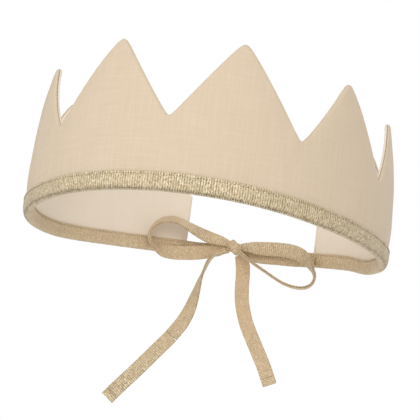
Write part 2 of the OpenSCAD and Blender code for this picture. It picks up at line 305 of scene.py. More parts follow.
# A folded ribbon along centres, and its length. Each of faces is where it looks at roll 0, and
# startAt is the length of ribbon that comes before it.
def ribbonPiece(name, rows, centres, faces, paintedSheenEnds, hemFold=0.0, startAt=0.0):
    lengths = lengthsAlong(centres, startAt)
    total = lengths[-1]
    rings, cloth, paintedSheenAndShade = [], [], []
    last = len(rows) - 1
    for i, row in enumerate(rows):
        roll, share = math.radians(row[3]), row[4]
        going = (centres[min(i + 1, last)] - centres[max(i - 1, 0)]).normalized()
        flat = (faces[i] - faces[i].dot(going) * going).normalized()
        across = going.cross(flat)
        f = flat * math.cos(roll) + across * math.sin(roll)
        w = across * math.cos(roll) - flat * math.sin(roll)
        folded = smoothStep(lengths[i], total - hemFold - 0.2, total - hemFold + 0.2) if hemFold else 0
        halfT = tape["tie"] / 2 * (plyThin + gatherThick * (1 - share) + foldThick * folded)
        section = foldedSection(tape["height"] * share / 2, halfT, share)
        rib = strip["ribHeight"] * math.cos(2 * math.pi * lengths[i] / strip["ribPitch"])
        sway = 0.10 * noise.noise(Vector((lengths[i] * 0.11, 0, 0)))
        along = smoothStep((lengths[i] - startAt) / (total - startAt))
        # The glitter here is a painted sheen, rising or falling along the piece for how the light catches its
        # ribs
        glitter = paintedSheenEnds[0] + (paintedSheenEnds[1] - paintedSheenEnds[0]) * along
        lifts = [t + math.copysign(rib * shows, t) * (t != 0) + sway for x, t, shows in section]
        rings.append([centres[i] + q[0] * w + lift * f for q, lift in zip(section, lifts)])
        cloth.append([(lengths[i], x, t) for x, t, shows in section])
        paintedSheenAndShade.append([glitter] * len(section))
    cloth, paintedSheenAndShade = (sum(endsDoubled(each), []) for each in (cloth, paintedSheenAndShade))
    cloth += cloth[:1] + cloth[-1:]
    paintedSheenAndShade += paintedSheenAndShade[:1] + paintedSheenAndShade[-1:]
    return makeMesh(name, *fannedLoft(withEndRings(rings)), cloth, paintedSheenAndShade), total - startAt


# Turns a piece's faces out if the loft left them facing in
def turned(piece):
    volume = 0.0
    co = [v.co for v in piece.data.vertices]
    for poly in piece.data.polygons:
        ids = poly.vertices
        for j in range(1, len(ids) - 1):
            volume += co[ids[0]].dot(co[ids[j]].cross(co[ids[j + 1]]))
    if volume < 0:
        piece.data.flip_normals()
    return piece


# Routes of the bow's ribbons, as in the CAD source: three distances, roll and share of the full height
knotSide = bow["radius"]
leftLoopRoute = [
    [-0.8, 5.9, 7.8, 0, 0.56], [-4.2, 5.9, 8.6, 5, 0.72], [-9.4, 6, 9.5, 18, 0.9],
    [-15.6, 6.2, 11.5, 34, 1], [-22.4, 6.4, 14.1, 46, 1], [-28.2, 6.4, 16.2, 52, 1],
    [-33.3, 6.4, 16.7, 58, 1], [-38.4, 6.2, 15.2, 71, 1], [-41.8, 6, 12.4, 86, 1],
    [-43.6, 5.8, 8.9, 96, 1], [-43.8, 5.8, 5.8, 102, 1], [-42.3, 5.6, 3.1, 108, 1],
    [-39.1, 5.2, 1.1, 128, 1], [-34.8, 4.4, -0.1, 155, 1], [-29.2, 3.5, -0.2, 172, 1],
    [-22.5, 3.2, 0.3, 180, 1], [-15.2, 3.4, 1.3, 180, 1], [-8.9, 3.7, 2.5, 180, 0.9],
    [-4.2, 3.9, 3.7, 180, 0.72], [-0.8, 3.9, 4.4, 180, 0.56]]
rightLoopRoute = [
    [0.8, 5, 6.3, 0, 0.56], [3.5, 4.7, 6.5, 0, 0.72], [8.2, 4.1, 6.7, 0, 0.92], [14.4, 3.7, 6.9, 0, 1],
    [20.6, 3.6, 7.1, 0, 1], [26.6, 3.7, 6.8, 4, 1], [31.6, 4.1, 5.6, 14, 1], [35.9, 4.8, 3.4, 32, 1],
    [39.5, 5.6, 0.1, 58, 1], [42.3, 6.4, -3.3, 68, 1], [43.6, 7, -6.7, 66, 1], [42.6, 7.4, -10, 72, 1],
    [39.2, 7.6, -12.2, 81, 1], [34.8, 7.6, -12.8, 87, 1], [30, 7.6, -12.3, 89, 1],
    [24.9, 7.6, -10.8, 89, 1], [19.4, 7.6, -8.2, 88, 1], [13.8, 7.6, -5.3, 88, 1],
    [8.5, 7.6, -2.5, 88, 1], [4.4, 7.5, -0.1, 88, 0.85], [1.7, 7.4, 1.6, 88, 0.64],
    [0.4, 7.4, 2.6, 88, 0.56]]
leftTailRoute = [
    [-0.4, 3.2, -2.3, 90, 0.56], [-2.9, 3.6, -3.6, 90, 0.7], [-5.4, 4, -5.1, 90, 0.85],
    [-7.7, 4.4, -7.9, 90, 1], [-9.1, 4.4, -10.8, 90, 1], [-9.6, 4.4, -12.3, 90, 1],
    [-10.7, 4.4, -16.1, 84, 1], [-11.9, 4.5, -20.5, 74, 1], [-12.9, 4.6, -25.8, 60, 1],
    [-14, 4.7, -31.2, 44, 1], [-15.6, 4.8, -37.1, 28, 1], [-18.3, 5, -43.6, 13, 1],
    [-22.6, 5.1, -50.4, 3, 1], [-23.5, 5.2, -51.7, 1, 1], [-30.4, 5.4, -60.4, 0, 1],
    [-38.7, 5.6, -70.8, 0, 1], [-46.5, 5.8, -80.1, 0, 1], [-51.6, 6, -86.6, 0, 1]]
rightTailRoute = [
    [2.6, -1.9, 0.6, 0, 0.6], [4.3, -1.9, -1.6, 0, 0.85], [5.6, -1.9, -4.8, 0, 1],
    [5.9, -1.9, -6.6, 0, 1], [6.3, -1.7, -10.7, 0, 1], [6.5, -1.5, -15.5, 0, 1],
    [6.9, -1.2, -20.2, 0, 1], [7.6, -0.9, -24.6, 0, 1], [9, -0.6, -29.6, 0, 1], [11, -0.3, -35, 0, 1],
    [13.6, 0.1, -40.2, 0, 1], [16.4, 0.5, -45.2, 0, 1], [19.5, 0.9, -50.8, 0, 1],
    [23, 1.4, -57.2, 0, 1], [26.9, 2, -65.7, 0, 1]]
# How much sheen is painted on each bow ribbon from start to end: glitter painted where its ribs catch the
# light, and a plain tan painted where they don't
ribbonPaintedSheen = {"leftLoop": (0.45, 0.25), "rightLoop": (0.7, 0.35), "leftTailUpper": (0.25, 0.6),
               "leftTailLower": (0.6, 0.95), "rightTail": (0.02, 0.35)}  # from start to end of each
tails = {
    "hem": 4.5,  # the turned and stitched end
    "joinAt": 48.5,  # where the left one's two meshes meet, between its hinges' bends
    "upperBend": (6, 21.5),
    "lowerBend": (49.4, 62),
    "rightBend": (2, 16.5),
    "stitches": 5,
    "stitchShare": 0.76,
    "stitchRadius": 0.17,
}
knotEntry = {"deeper": 0.45, "gathered": 0.7}  # how the loops run on into the knot


def shifted(route, by):
    return [[p + d for p, d in zip(point[:3], by)] + point[3:] for point in route]


def tieRows(route):
    rows = smoothRoute(route, strip["ribPitch"] / strip["perRib"])
    return rows, [tiePoint(*row[:3]) for row in rows], [-outward(tieFacing(row[0])) for row in rows]


def tailRows(route):
    rows = smoothRoute(route, strip["ribPitch"] / strip["perRib"])
    return rows, [knotPoint(*row[:3]) for row in rows], [knotFront] * len(rows)


def makeLoop(name, node, body, route):
    rows, centres, faces = tieRows(route)
    piece, length = ribbonPiece(name, rows, centres, faces, ribbonPaintedSheen[name])
    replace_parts(turned(piece), node)
    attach(piece, body)
    print(f"{name}: {length:.1f} mm")
    return piece


# The route carried on at both ends to inside the knot's wrap
def intoKnot(route):
    def deeper(point):
        middle = (0, bow["depth"], bow["height"])
        place = [p + (m - p) * knotEntry["deeper"] for p, m in zip(point[:3], middle)]
        return place + [point[3], point[4] * knotEntry["gathered"]]

    return [deeper(route[0])] + route + [deeper(route[-1])]


leftLoop = makeLoop("leftLoop", "left_loop", "left_loop_ribbon",
                    intoKnot(shifted(leftLoopRoute, (-knotSide, 0, 0))))
rightLoop = makeLoop("rightLoop", "right_loop", "right_loop_ribbon",
                     intoKnot(shifted(rightLoopRoute, (knotSide, 0, 0))))


# Stitches: short rounded lengths of thread from one point to another, raised in the middle
def stitchShape(start, end, lift, radius, sides=6, rings=7):
    along = end - start
    going = along.normalized()
    up = (lift - lift.dot(going) * going).normalized()
    across = going.cross(up)
    verts = []
    for i in range(rings):
        f = i / (rings - 1)
        r = radius * math.sqrt(max(0.05, 1 - (2 * f - 1) ** 4))
        middle = start + along * f + up * radius * 0.7 * math.sin(math.pi * f)
        for j in range(sides):
            t = 2 * math.pi * j / sides
            verts.append(middle + r * (math.cos(t) * up + math.sin(t) * across))
    return verts


def makeStitches(name, stitches, radius, nodes, body):
    sides, rings = 6, 7
    verts, faces, cloth = [], [], []
    for start, end, lift in stitches:
        first = len(verts)
        shape = stitchShape(start, end, lift, radius, sides, rings)
        verts += shape
        length = (end - start).length
        cloth += [(i // sides / (rings - 1) * length + first, i % sides / sides, 0)
                  for i in range(len(shape))]
        faces += loftFaces(rings, sides, first=first)
    piece = turned(makeMesh(name, verts, faces, cloth))
    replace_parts(piece, *nodes)
    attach(piece, body)
    return piece


# A row of small stitches across both sides of a tail's turned end
def tailStitches(name, node, body, centres, faces):
    distance, k = 0.0, len(centres) - 1
    while distance < tails["hem"] - 0.8:
        distance += (centres[k] - centres[k - 1]).length
        k -= 1
    going = (centres[k + 1] - centres[k - 1]).normalized()
    flat = (faces[k] - faces[k].dot(going) * going).normalized()
    across = going.cross(flat)
    count, reachAcross = tails["stitches"], tape["height"] / 2 - 0.7
    step = 2 * reachAcross / count
    stitches = []
    for side in (1, -1):
        base = centres[k] + side * (tape["tie"] / 2 * 1.28) * flat
        for j in range(count):
            low = -reachAcross + (j + 0.12) * step
            high = low + tails["stitchShare"] * step
            stitches.append((base + low * across, base + high * across, side * flat))
    return makeStitches(name, stitches, tails["stitchRadius"], [node], body)


def makeTails():
    rows, centres, faces = tailRows(shifted(leftTailRoute, (-knotSide, 0, 0)))
    lengths = lengthsAlong(centres)
    joinAt = next(i for i, d in enumerate(lengths) if d > tails["joinAt"])
    upper, upperLength = ribbonPiece("leftTailUpper", rows[:joinAt + 1], centres[:joinAt + 1],
                                     faces[:joinAt + 1], ribbonPaintedSheen["leftTailUpper"])
    lower, lowerLength = ribbonPiece("leftTailLower", rows[joinAt:], centres[joinAt:], faces[joinAt:],
                                     ribbonPaintedSheen["leftTailLower"], tails["hem"], lengths[joinAt])
    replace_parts(turned(upper), "left_tail_root", "left_tail_upper")
    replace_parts(turned(lower), "left_tail_lower")
    bendAcross(upper, "crown", "left_tail_top", centres, lengths, *tails["upperBend"])
    bendAcross(lower, "left_tail_top", "left_tail_end", centres, lengths, *tails["lowerBend"])
    stitching = tailStitches("leftEndStitches", "left_end_stitching", "left_tail_end", centres, faces)
    print(f"left tail: {upperLength:.1f} + {lowerLength:.1f} mm")

    rows, centres, faces = tailRows(shifted(rightTailRoute, (0, 0, -knotSide)))
    lengths = lengthsAlong(centres)
    right, rightLength = ribbonPiece("rightTail", rows, centres, faces, ribbonPaintedSheen["rightTail"], tails["hem"])
    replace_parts(turned(right), "right_tail_root", "right_tail")
    bendAcross(right, "crown", "right_tail_ribbon", centres, lengths, *tails["rightBend"])
    stitching = tailStitches("rightEndStitches", "right_end_stitching", "right_tail_ribbon", centres, faces)
    print(f"right tail: {rightLength:.1f} mm")
    return upper, lower, right


# The piece's placement is baked into its mesh
def bendAcross(piece, before, after, centres, lengths, start, end):
    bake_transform(piece)


leftTailUpper, leftTailLower, rightTail = makeTails()
print("bow's ribbons made")


# The padded wall
cloth = {
    "edgeRadius": 1.7,  # how far the padding rounds over towards the seam
    "seamHalf": 0.22,
    "foot": 3.2,  # the panel's raw edge, inside the hem ribbon
    "crown": 0.30,  # how far the padding swells the cloth
    "wave": 0.34,
    "pucker": 0.07,
    "stitch": 2.6,
    "tuck": 0.04,  # how close the turned edges come to the middle
}
edgeDrops = [0.0, 0.1, 0.25, 0.45, 0.7, 1.0, 1.35, 1.8, 2.4, 3.2, 4.2]
lowRows = 24


def rounding(d, r):
    return math.sqrt(d * d + r * r) - r


halfPitch = pointPitch / 2
sideSlope = (points["tip"] - points["notch"]) / (
    rounding(halfPitch / 2, points["tipRound"]) + rounding(halfPitch / 2, points["notchRound"]))


def tipDistance(s):
    return abs((s + panelEnd) % pointPitch - halfPitch)


def edgeHeight(s):
    d = tipDistance(max(-panelEnd, min(panelEnd, s)))
    if d < halfPitch / 2:
        return points["tip"] - sideSlope * rounding(d, points["tipRound"])
    return points["notch"] + sideSlope * rounding(halfPitch - d, points["notchRound"])


def edgeSlope(s):
    return (edgeHeight(s + 0.05) - edgeHeight(s - 0.05)) / 0.1


# Places along the wall, close together at the tips, notches and ends
def wallStations():
    near = [0.35, 0.75, 1.2, 1.7, 2.3, 3.0, 3.9, 5.0]
    plain = [5 + i * (halfPitch - 10) / 13 for i in range(1, 13)]
    half = [0] + near + plain + [halfPitch - d for d in near[::-1]]
    stations = set()
    for i in range(points["count"]):
        tip = (i + 0.5) * pointPitch - panelEnd
        stations |= {round(tip + side * d, 4) for d in half for side in (-1, 1)}
        stations.add(round(tip + halfPitch, 4))
    for d in edgeDrops:
        stations |= {round(panelEnd - d, 4), round(d - panelEnd, 4)}
    ordered = sorted(stations)
    return [s for i, s in enumerate(ordered) if i == 0 or s - ordered[i - 1] > 0.04]


# How far the cloth swells from flat there: soft waves, and puckers by the seams
def clothShift(s, up, side):
    top = edgeHeight(s)
    middle = smoothStep(up, 8, 18) * smoothStep(top - up, 0.5, 12)
    soft = noise.noise(Vector((s * 0.035, up * 0.045, side * 9.0)))
    soft += 0.45 * noise.noise(Vector((s * 0.10, up * 0.09, side * 5.0 + 3)))
    pucker = math.sin(2 * math.pi * s / cloth["stitch"] + 1.5 * noise.noise(Vector((s * 0.2, 0, side))))
    byEdge = math.exp(-((top - up) / 3.2) ** 2) + math.exp(-((up - tape["height"]) / 2.5) ** 2)
    waves = cloth["wave"] * soft * smoothStep(up, 7, 16)
    return cloth["crown"] * middle + waves + cloth["pucker"] * pucker * byEdge


def roundOver(d):
    t = 1 - min(d, cloth["edgeRadius"]) / cloth["edgeRadius"]
    return math.sqrt(max(0.0, 1 - t * t))


# A layer of cloth with its outside at face and its inside at back. The side is +1 for the outer
# panel and -1 for the lining.
def makeShell(name, node, face, back, side):
    rings, clothAt = [], []
    lip = seamLine + side * cloth["seamHalf"]
    tuck = seamLine + side * cloth["tuck"]
    for s in wallStations():
        a = facingAt(s)
        top = edgeHeight(s)
        slant = math.hypot(1, edgeSlope(s)) if abs(s) < panelEnd - 0.1 else 1.2
        endGap = panelEnd - abs(s)
        rows = []
        lowTop = top - edgeDrops[-1] * slant
        ups = [cloth["foot"] + (lowTop - cloth["foot"]) * i / lowRows for i in range(lowRows)]
        ups += [top - d * slant for d in edgeDrops[::-1]]
        for up in ups:
            shape = roundOver(min((top - up) / slant, endGap))
            swell = side * clothShift(s, up, side) * shape
            rows.append((lip + (face - lip) * shape + swell, up))
        rows += [(lip + (tuck - lip) * 0.5, top - 0.25 * slant)]
        rows += [(tuck, top - d * slant) for d in (0.8, 1.5)]
        inner = tuck + (back - tuck) * smoothStep(endGap, 0.2, 2.4)
        low = top - 2.2 * slant
        rows += [(inner, low + (cloth["foot"] - low) * i / 6) for i in range(7)]
        rings.append([wallPoint(a, out, up) for out, up in rows])
        clothAt += [(s, up, out) for out, up in rows]
    clothAt += [clothAt[0], clothAt[-len(rings[0])]]
    piece = turned(makeMesh(name, *fannedLoft(rings), clothAt))
    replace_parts(piece, node)
    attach(piece, "crown")
    return piece


padding = {"drop": 2.5, "endGap": 2.6, "inset": 0.05, "fluff": 0.05, "fill": 0.3}


def makeWadding():
    rings, clothAt = [], []
    end = panelEnd - padding["endGap"]
    for s in (t for t in wallStations() if abs(t) < end):
        a = facingAt(s)
        top = edgeHeight(s) - padding["drop"] * math.hypot(1, edgeSlope(s))
        ups = [cloth["foot"] + (top - cloth["foot"]) * i / 14 for i in range(15)]
        fluff = [padding["fluff"] * noise.noise(Vector((s * 0.5, up * 0.5, 1))) for up in ups]
        rows = [(waddingOut - padding["inset"] + f, up) for f, up in zip(fluff, ups)]
        rows += [((waddingIn + waddingOut) / 2, top + 0.3)]
        rows += [(waddingIn + padding["inset"] + f, up) for f, up in zip(fluff, ups)][::-1]
        rings.append([wallPoint(a, out, up) for out, up in rows])
        clothAt += [(s, up, out) for out, up in rows]
    verts = [v for ring in rings for v in ring]
    piece = turned(makeMesh("waddingLayer", verts, loftFaces(len(rings), len(rings[0])), clothAt))
    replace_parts(piece, "wadding")
    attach(piece, "crown")
    return piece


waddingLayer = makeWadding()
outerPanel = makeShell("outerPanel", "outer_panel", wallOut, outerIn, 1)
liningPanel = makeShell("liningPanel", "lining_panel", 0, layers["lining"], -1)
print("padded wall made")


# The hem ribbon, folded over the raw edge and carried on as the two leads to the knot
hem = {
    "taper": 3.7,  # height up to which the empty fold draws in under the wall
    "lip": 0.12,
    "dent": 0.16,  # how far the stitching pulls the ribbon in
    "stitchLevel": 6.4,
    "ribHeight": 0.09,
    "closing": 9.0,  # length over which the fold closes up at the ends of the fabric
    # The inner face gets less painted glitter than the outer face, for how the light falls on it
    "innerPaintedSheen": 0.45,
    "foldPaintedShade": 0.6,  # how strongly the painted shade along the underside of the fold shows
}
leftLeadRoute = [
    [-20, -0.7, 3.6, 0, 1], [-13.6, 0.2, 3.7, 0, 1], [-8.3, 0.8, 4.2, 0, 0.9],
    [-5.1, 1, 4.9, 0, 0.7], [-2.6, 1, 5.4, 0, 0.6]]
rightLeadRoute = [
    [2.6, 1, 4.6, 0, 0.6], [5.6, 1, 3.9, 0, 0.7], [8.7, 0.9, 3.3, 0, 0.9],
    [15, 0.6, 3, 0, 1], [23.4, 0.1, 3.1, 0, 1], [33.7, -0.7, 3.2, 0, 1]]


# Points (out from the middle, height, rib) from the outer lip down round the fold to the inner lip
# and back
def hemSection(halfT, openness, share):
    tall, layer = tape["height"], tape["layer"] * (0.55 + 0.45 * openness)
    inner = max(0.06, halfT - layer)
    face = []
    for i in range(12):
        up = tall - 0.25 - (tall - 0.25) * (i / 12) ** 0.9
        under = max(0.0, 1 - up / hem["taper"])
        width = halfT * math.sqrt(max(0.0, 1 - 0.92 * under ** 2.2))
        width += 0.10 * openness * math.sin(math.pi * min(1, up / hem["stitchLevel"]))
        width -= hem["dent"] * openness * math.exp(-((up - hem["stitchLevel"]) / 0.45) ** 2)
        width += hem["lip"] * openness * smoothStep(up, 6.7, 7.3)
        pleat = 0.5 * (1 - share) * math.sin(up * 2.6)
        face.append((width + pleat, up, 1.0))
    ring = [(halfT - 0.10, tall, 0.5)] + face + [(0, 0, 0.8)]
    ring += [(-w, up, rib) for w, up, rib in face[::-1]] + [(0.10 - halfT, tall, 0.5)]
    back = [(-inner, tall - 0.1), (-inner, hem["taper"]), (-inner * 0.7, 1.6), (0, 0.75 + 0.3 * openness)]
    ring += [(w, up, 0) for w, up in back] + [(-w, up, 0) for w, up in back[-2::-1]]
    return ring


def makeHemRibbon():
    step = strip["ribPitch"] / strip["perRib"]
    stations = []  # the section's foot, direction out, half thickness, openness, share
    half = tape["tie"] / 2
    full = wallOut / 2 + layers["gap"] + tape["layer"]

    def lead(route, side, reverse):
        start = [side * (panelEnd - plan["girth"] / 2) - bow["offset"], -seamLine, tape["height"] / 2, 0, 1]
        rows = smoothRoute([start] + route if side > 0 else route + [start], step)
        made = []
        for row in rows:
            a = tieFacing(row[0])
            away = abs(row[0] - start[0])
            openness = 1 - smoothStep(away, 0, hem["closing"])
            foot = tiePoint(row[0], row[1], row[2] - tape["height"] / 2)
            made.append((foot, outward(a), half * 0.86 + (full - half * 0.86) * openness, openness, row[4]))
        return made[::-1] if reverse else made

    count = round(2 * panelEnd / step)
    for i in range(count + 1):
        s = -panelEnd + 2 * panelEnd * i / count
        a = facingAt(s)
        stations.append((wallPoint(a, seamLine, 0), outward(a), full, 1.0, 1.0))
    stations = lead(leftLeadRoute, 1, True) + stations[1:-1] + lead(rightLeadRoute, -1, True)
    verts, clothAt, paintedSheenAndShade = [], [], []
    length, size = 0.0, 0
    for i, (foot, out, halfT, openness, share) in enumerate(stations):
        if i:
            length += (foot - stations[i - 1][0]).length
        wave = 2 * math.pi * length / strip["ribPitch"]
        rib = hem["ribHeight"] * math.cos(wave)
        sway = 0.16 * noise.noise(Vector((length * 0.06, 4, 0)))
        sway += 0.07 * noise.noise(Vector((length * 0.3, 8, 0)))
        section = hemSection(halfT, openness, share)
        size = len(section)
        middle = tape["height"] / 2
        for w, up, shows in section:
            tall = middle + (up - middle) * share
            wide = w + math.copysign(rib * shows, w) * (w != 0)
            lift = tall + sway * smoothStep(up, 0, 4) - (rib * 0.6 if up == 0 else 0)
            verts.append(foot + out * (wide + wallShift(lift) * openness) + Vector((0, 0, lift)))
            clothAt.append((length, up if w >= 0 else -up, w))
            # Painted shade along the underside of the fold, and less painted sheen on the inner face
            paintedFoldShade = hem["foldPaintedShade"] * openness * math.exp(-(up / 0.95) ** 2) * smoothStep(w, -0.1, 0.4)
            paintedSheenAndShade.append(hem["innerPaintedSheen"] + (1 - hem["innerPaintedSheen"]) * smoothStep(w, -0.1, 0.1) + paintedFoldShade)
    faces = loftFaces(len(stations), size, capped=False)
    last = (len(stations) - 1) * size
    faces += fanCap(verts, list(range(size)), True) + fanCap(verts, list(range(last, last + size)), False)
    clothAt += [clothAt[0], clothAt[last]]
    paintedSheenAndShade += [1.0, 1.0]
    piece = turned(makeMesh("hemRibbon", verts, faces, clothAt, paintedSheenAndShade))
    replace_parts(piece, "hem_binding", "left_lead", "right_lead")
    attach(piece, "crown")
    print(f"hem ribbon: {length:.1f} mm")
    return piece


hemRibbon = makeHemRibbon()


# Sewing
sewing = {"hemPitch": 1.3, "hemLength": 0.5, "hemRadius": 0.18,
          "seamPitch": 2.6, "seamLength": 2.0, "seamRadius": 0.16}
bar = {"endGap": 2.3, "rows": 9, "low": 1.5, "step": 0.44, "half": 0.8, "radius": 0.17}


def hemStitches(name, node, out, side):
    stitches = []
    count = int(2 * (panelEnd - 1) / sewing["hemPitch"])
    rng = random.Random(len(name))
    for i in range(count):
        s = -panelEnd + 1 + (i + 0.5) * sewing["hemPitch"]
        level = hem["stitchLevel"] + 0.12 * math.sin(i * 2.2) + rng.uniform(-0.05, 0.05)
        ends = [wallPoint(facingAt(s + d), out, level + t) for d, t in
                ((-sewing["hemLength"] / 2, -0.08), (sewing["hemLength"] / 2, 0.08))]
        stitches.append((*ends, side * outward(facingAt(s))))
    return makeStitches(name, stitches, sewing["hemRadius"], [node], "crown")


def seamStitches():
    stitches = []
    walkedSoFar, target = 0.0, sewing["seamPitch"] / 2
    step = 0.1
    s = 1.2 - panelEnd
    while s < panelEnd - 1.2:
        slope = edgeSlope(s)
        walkedSoFar += step * math.hypot(1, slope)
        if walkedSoFar > target:
            target += sewing["seamPitch"]
            half = sewing["seamLength"] / 2 / math.hypot(1, slope)
            ends = [wallPoint(facingAt(s + d), seamLine, edgeHeight(s + d) - 0.30 * math.hypot(1, slope))
                    for d in (-half, half)]
            stitches.append((*ends, Vector((0, 0, 1))))
        s += step
    return makeStitches("seamThread", stitches, sewing["seamRadius"], ["seam_thread"],
                        "crown")


# A bar of close stitches, seen on both faces of the ribbon
def barStitches(name, node, side):
    stitches = []
    s0 = side * (panelEnd - bar["endGap"])
    full = layers["gap"] + tape["layer"]
    for out, way in ((wallOut + full + 0.02, 1), (-full - 0.02, -1)):
        for i in range(bar["rows"]):
            up = bar["low"] + i * bar["step"]
            tuck = 0.5 * max(0.0, 1 - up / hem["taper"]) ** 2
            ends = [wallPoint(facingAt(s0 + d), out - way * tuck, up + t)
                    for d, t in ((-bar["half"], -0.12), (bar["half"], 0.12))]
            stitches.append((*ends, way * outward(facingAt(s0))))
    return makeStitches(name, stitches, bar["radius"], [node], "crown")


stitchSunk = 0.12
outerStitches = hemStitches("outerHemStitches", "needle_thread",
                            wallOut + layers["gap"] + tape["layer"] - stitchSunk, 1)
innerStitches = hemStitches("innerHemStitches", "bobbin_thread", stitchSunk - layers["gap"] - tape["layer"], -1)
seamThread = seamStitches()
leftBar = barStitches("leftBarStitches", "left_bartack", -1)
rightBar = barStitches("rightBarStitches", "right_bartack", 1)
print("sewing made")


# The knot: a pleated wrap slung from upper left to lower right round the gathered ribbons
knot = {"slant": -52, "long": 3.6, "deep": 3.2, "halfWidth": 2.6, "thick": 0.9, "crown": 0.35,
        "pleats": 0.24, "square": 0.72, "dents": 0.55, "turns": 72, "paintedSheenAndShade": 0.22,
        "strand": 1.75, "strandBelly": 0.75, "strandHalf": 4.1}


def squared(x):
    return math.copysign(abs(x) ** knot["square"], x)


def makeKnot():
    slant = math.radians(knot["slant"])
    down = Vector((math.cos(slant), 0, math.sin(slant)))  # along the wrap, in right, front, up
    front = Vector((0, 1, 0))
    across = down.cross(front)
    verts, clothAt = [], []
    cells = 22
    for i in range(knot["turns"]):
        t = 2 * math.pi * i / knot["turns"]
        out = (math.cos(t) * down / knot["long"] + math.sin(t) * front / knot["deep"]).normalized()
        middle = knot["long"] * squared(math.cos(t)) * down + knot["deep"] * squared(math.sin(t)) * front
        width = knot["halfWidth"] * (0.86 + 0.14 * math.sin(t) + 0.05 * math.sin(3 * t))
        for j in range(cells):
            u = 2 * math.pi * j / cells
            x = math.cos(u)
            dent = noise.noise(Vector((2.2 * math.cos(t), 2.2 * math.sin(t), x * 1.6)))
            crown = -knot["crown"] * x * x + knot["dents"] * dent
            crease = knot["pleats"] * math.sin(9.5 * x + 0.9 * math.sin(t + 0.6)) * (1 - x ** 4)
            lift = crown + (knot["thick"] / 2 * math.sin(u)) + (crease if math.sin(u) > 0 else 0)
            p = middle + out * lift + across * (x * width + 0.35 * math.cos(t))
            verts.append(knotPoint(*p))
            clothAt.append((i * 0.3, j * 0.3, 0))
    faces = loftFaces(knot["turns"], cells, closed=True)
    first = len(verts)
    rings, strandCells = 15, 24
    for i in range(rings):  # the gathered strands inside the wrap
        f = 2 * i / (rings - 1) - 1
        r = knot["strand"] + knot["strandBelly"] * (1 - f * f)
        for j in range(strandCells):
            u = 2 * math.pi * j / strandCells
            fold = r * (1 + 0.13 * math.sin(5 * u + f))
            verts.append(knotPoint(knot["strandHalf"] * f, -0.3 + fold * 1.05 * math.cos(u),
                                   fold * math.sin(u) + 0.2 - 0.5 * f * f))
            clothAt.append((f * 4, j * 0.4, 0))
    faces += loftFaces(rings, strandCells, first=first)
    # The knot gets little painted sheen, so it shows mostly the plain tan painted where the ribs don't catch
    # the light
    piece = makeMesh("bowKnot", verts, faces, clothAt, [knot["paintedSheenAndShade"]] * len(verts))
    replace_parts(turned(piece), "bow_knot")
    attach(piece, "crown")
    return piece


bowKnot = makeKnot()
print("knot made")


# Materials
def newGroup(name, inputs, outputs):
    group = bpy.data.node_groups.new(name, "ShaderNodeTree")
    for label, kind, value in inputs:
        socket = group.interface.new_socket(name=label, in_out="INPUT", socket_type="NodeSocket" + kind)
        if value is not None:
            socket.default_value = value
    for label, kind in outputs:
        group.interface.new_socket(name=label, in_out="OUTPUT", socket_type="NodeSocket" + kind)
    return group, group.nodes.new("NodeGroupInput").outputs, group.nodes.new("NodeGroupOutput").inputs


def plug(tree, socket, value):
    if isinstance(value, bpy.types.NodeSocket):
        tree.links.new(value, socket)
    else:
        socket.default_value = value


def addNode(tree, kind, inputs=(), **settings):
    node = tree.nodes.new("ShaderNode" + kind)
    for key, value in settings.items():
        setattr(node, key, value)
    for key, value in dict(inputs).items():
        plug(tree, node.inputs[key], value)
    return node


def calc(tree, operation, a, b=0.0, c=0.0):
    node = tree.nodes.new("ShaderNodeMath")
    node.operation = operation
    for socket, value in zip(node.inputs, (a, b, c)):
        plug(tree, socket, value)
    return node.outputs[0]


def mapped(tree, value, low, high, toLow=0.0, toHigh=1.0):
    node = addNode(tree, "MapRange", {"Value": value, "From Min": low, "From Max": high,
                                      "To Min": toLow, "To Max": toHigh})
    return node.outputs["Result"]


def stretched(tree, vector, scale):
    return addNode(tree, "VectorMath", {0: vector, 1: scale}, operation="MULTIPLY").outputs[0]


def mixed(tree, factor, a, b):
    node = addNode(tree, "Mix", data_type="RGBA")
    for key, value in ((0, factor), (6, a), (7, b)):
        plug(tree, node.inputs[key], value)
    return node.outputs[2]


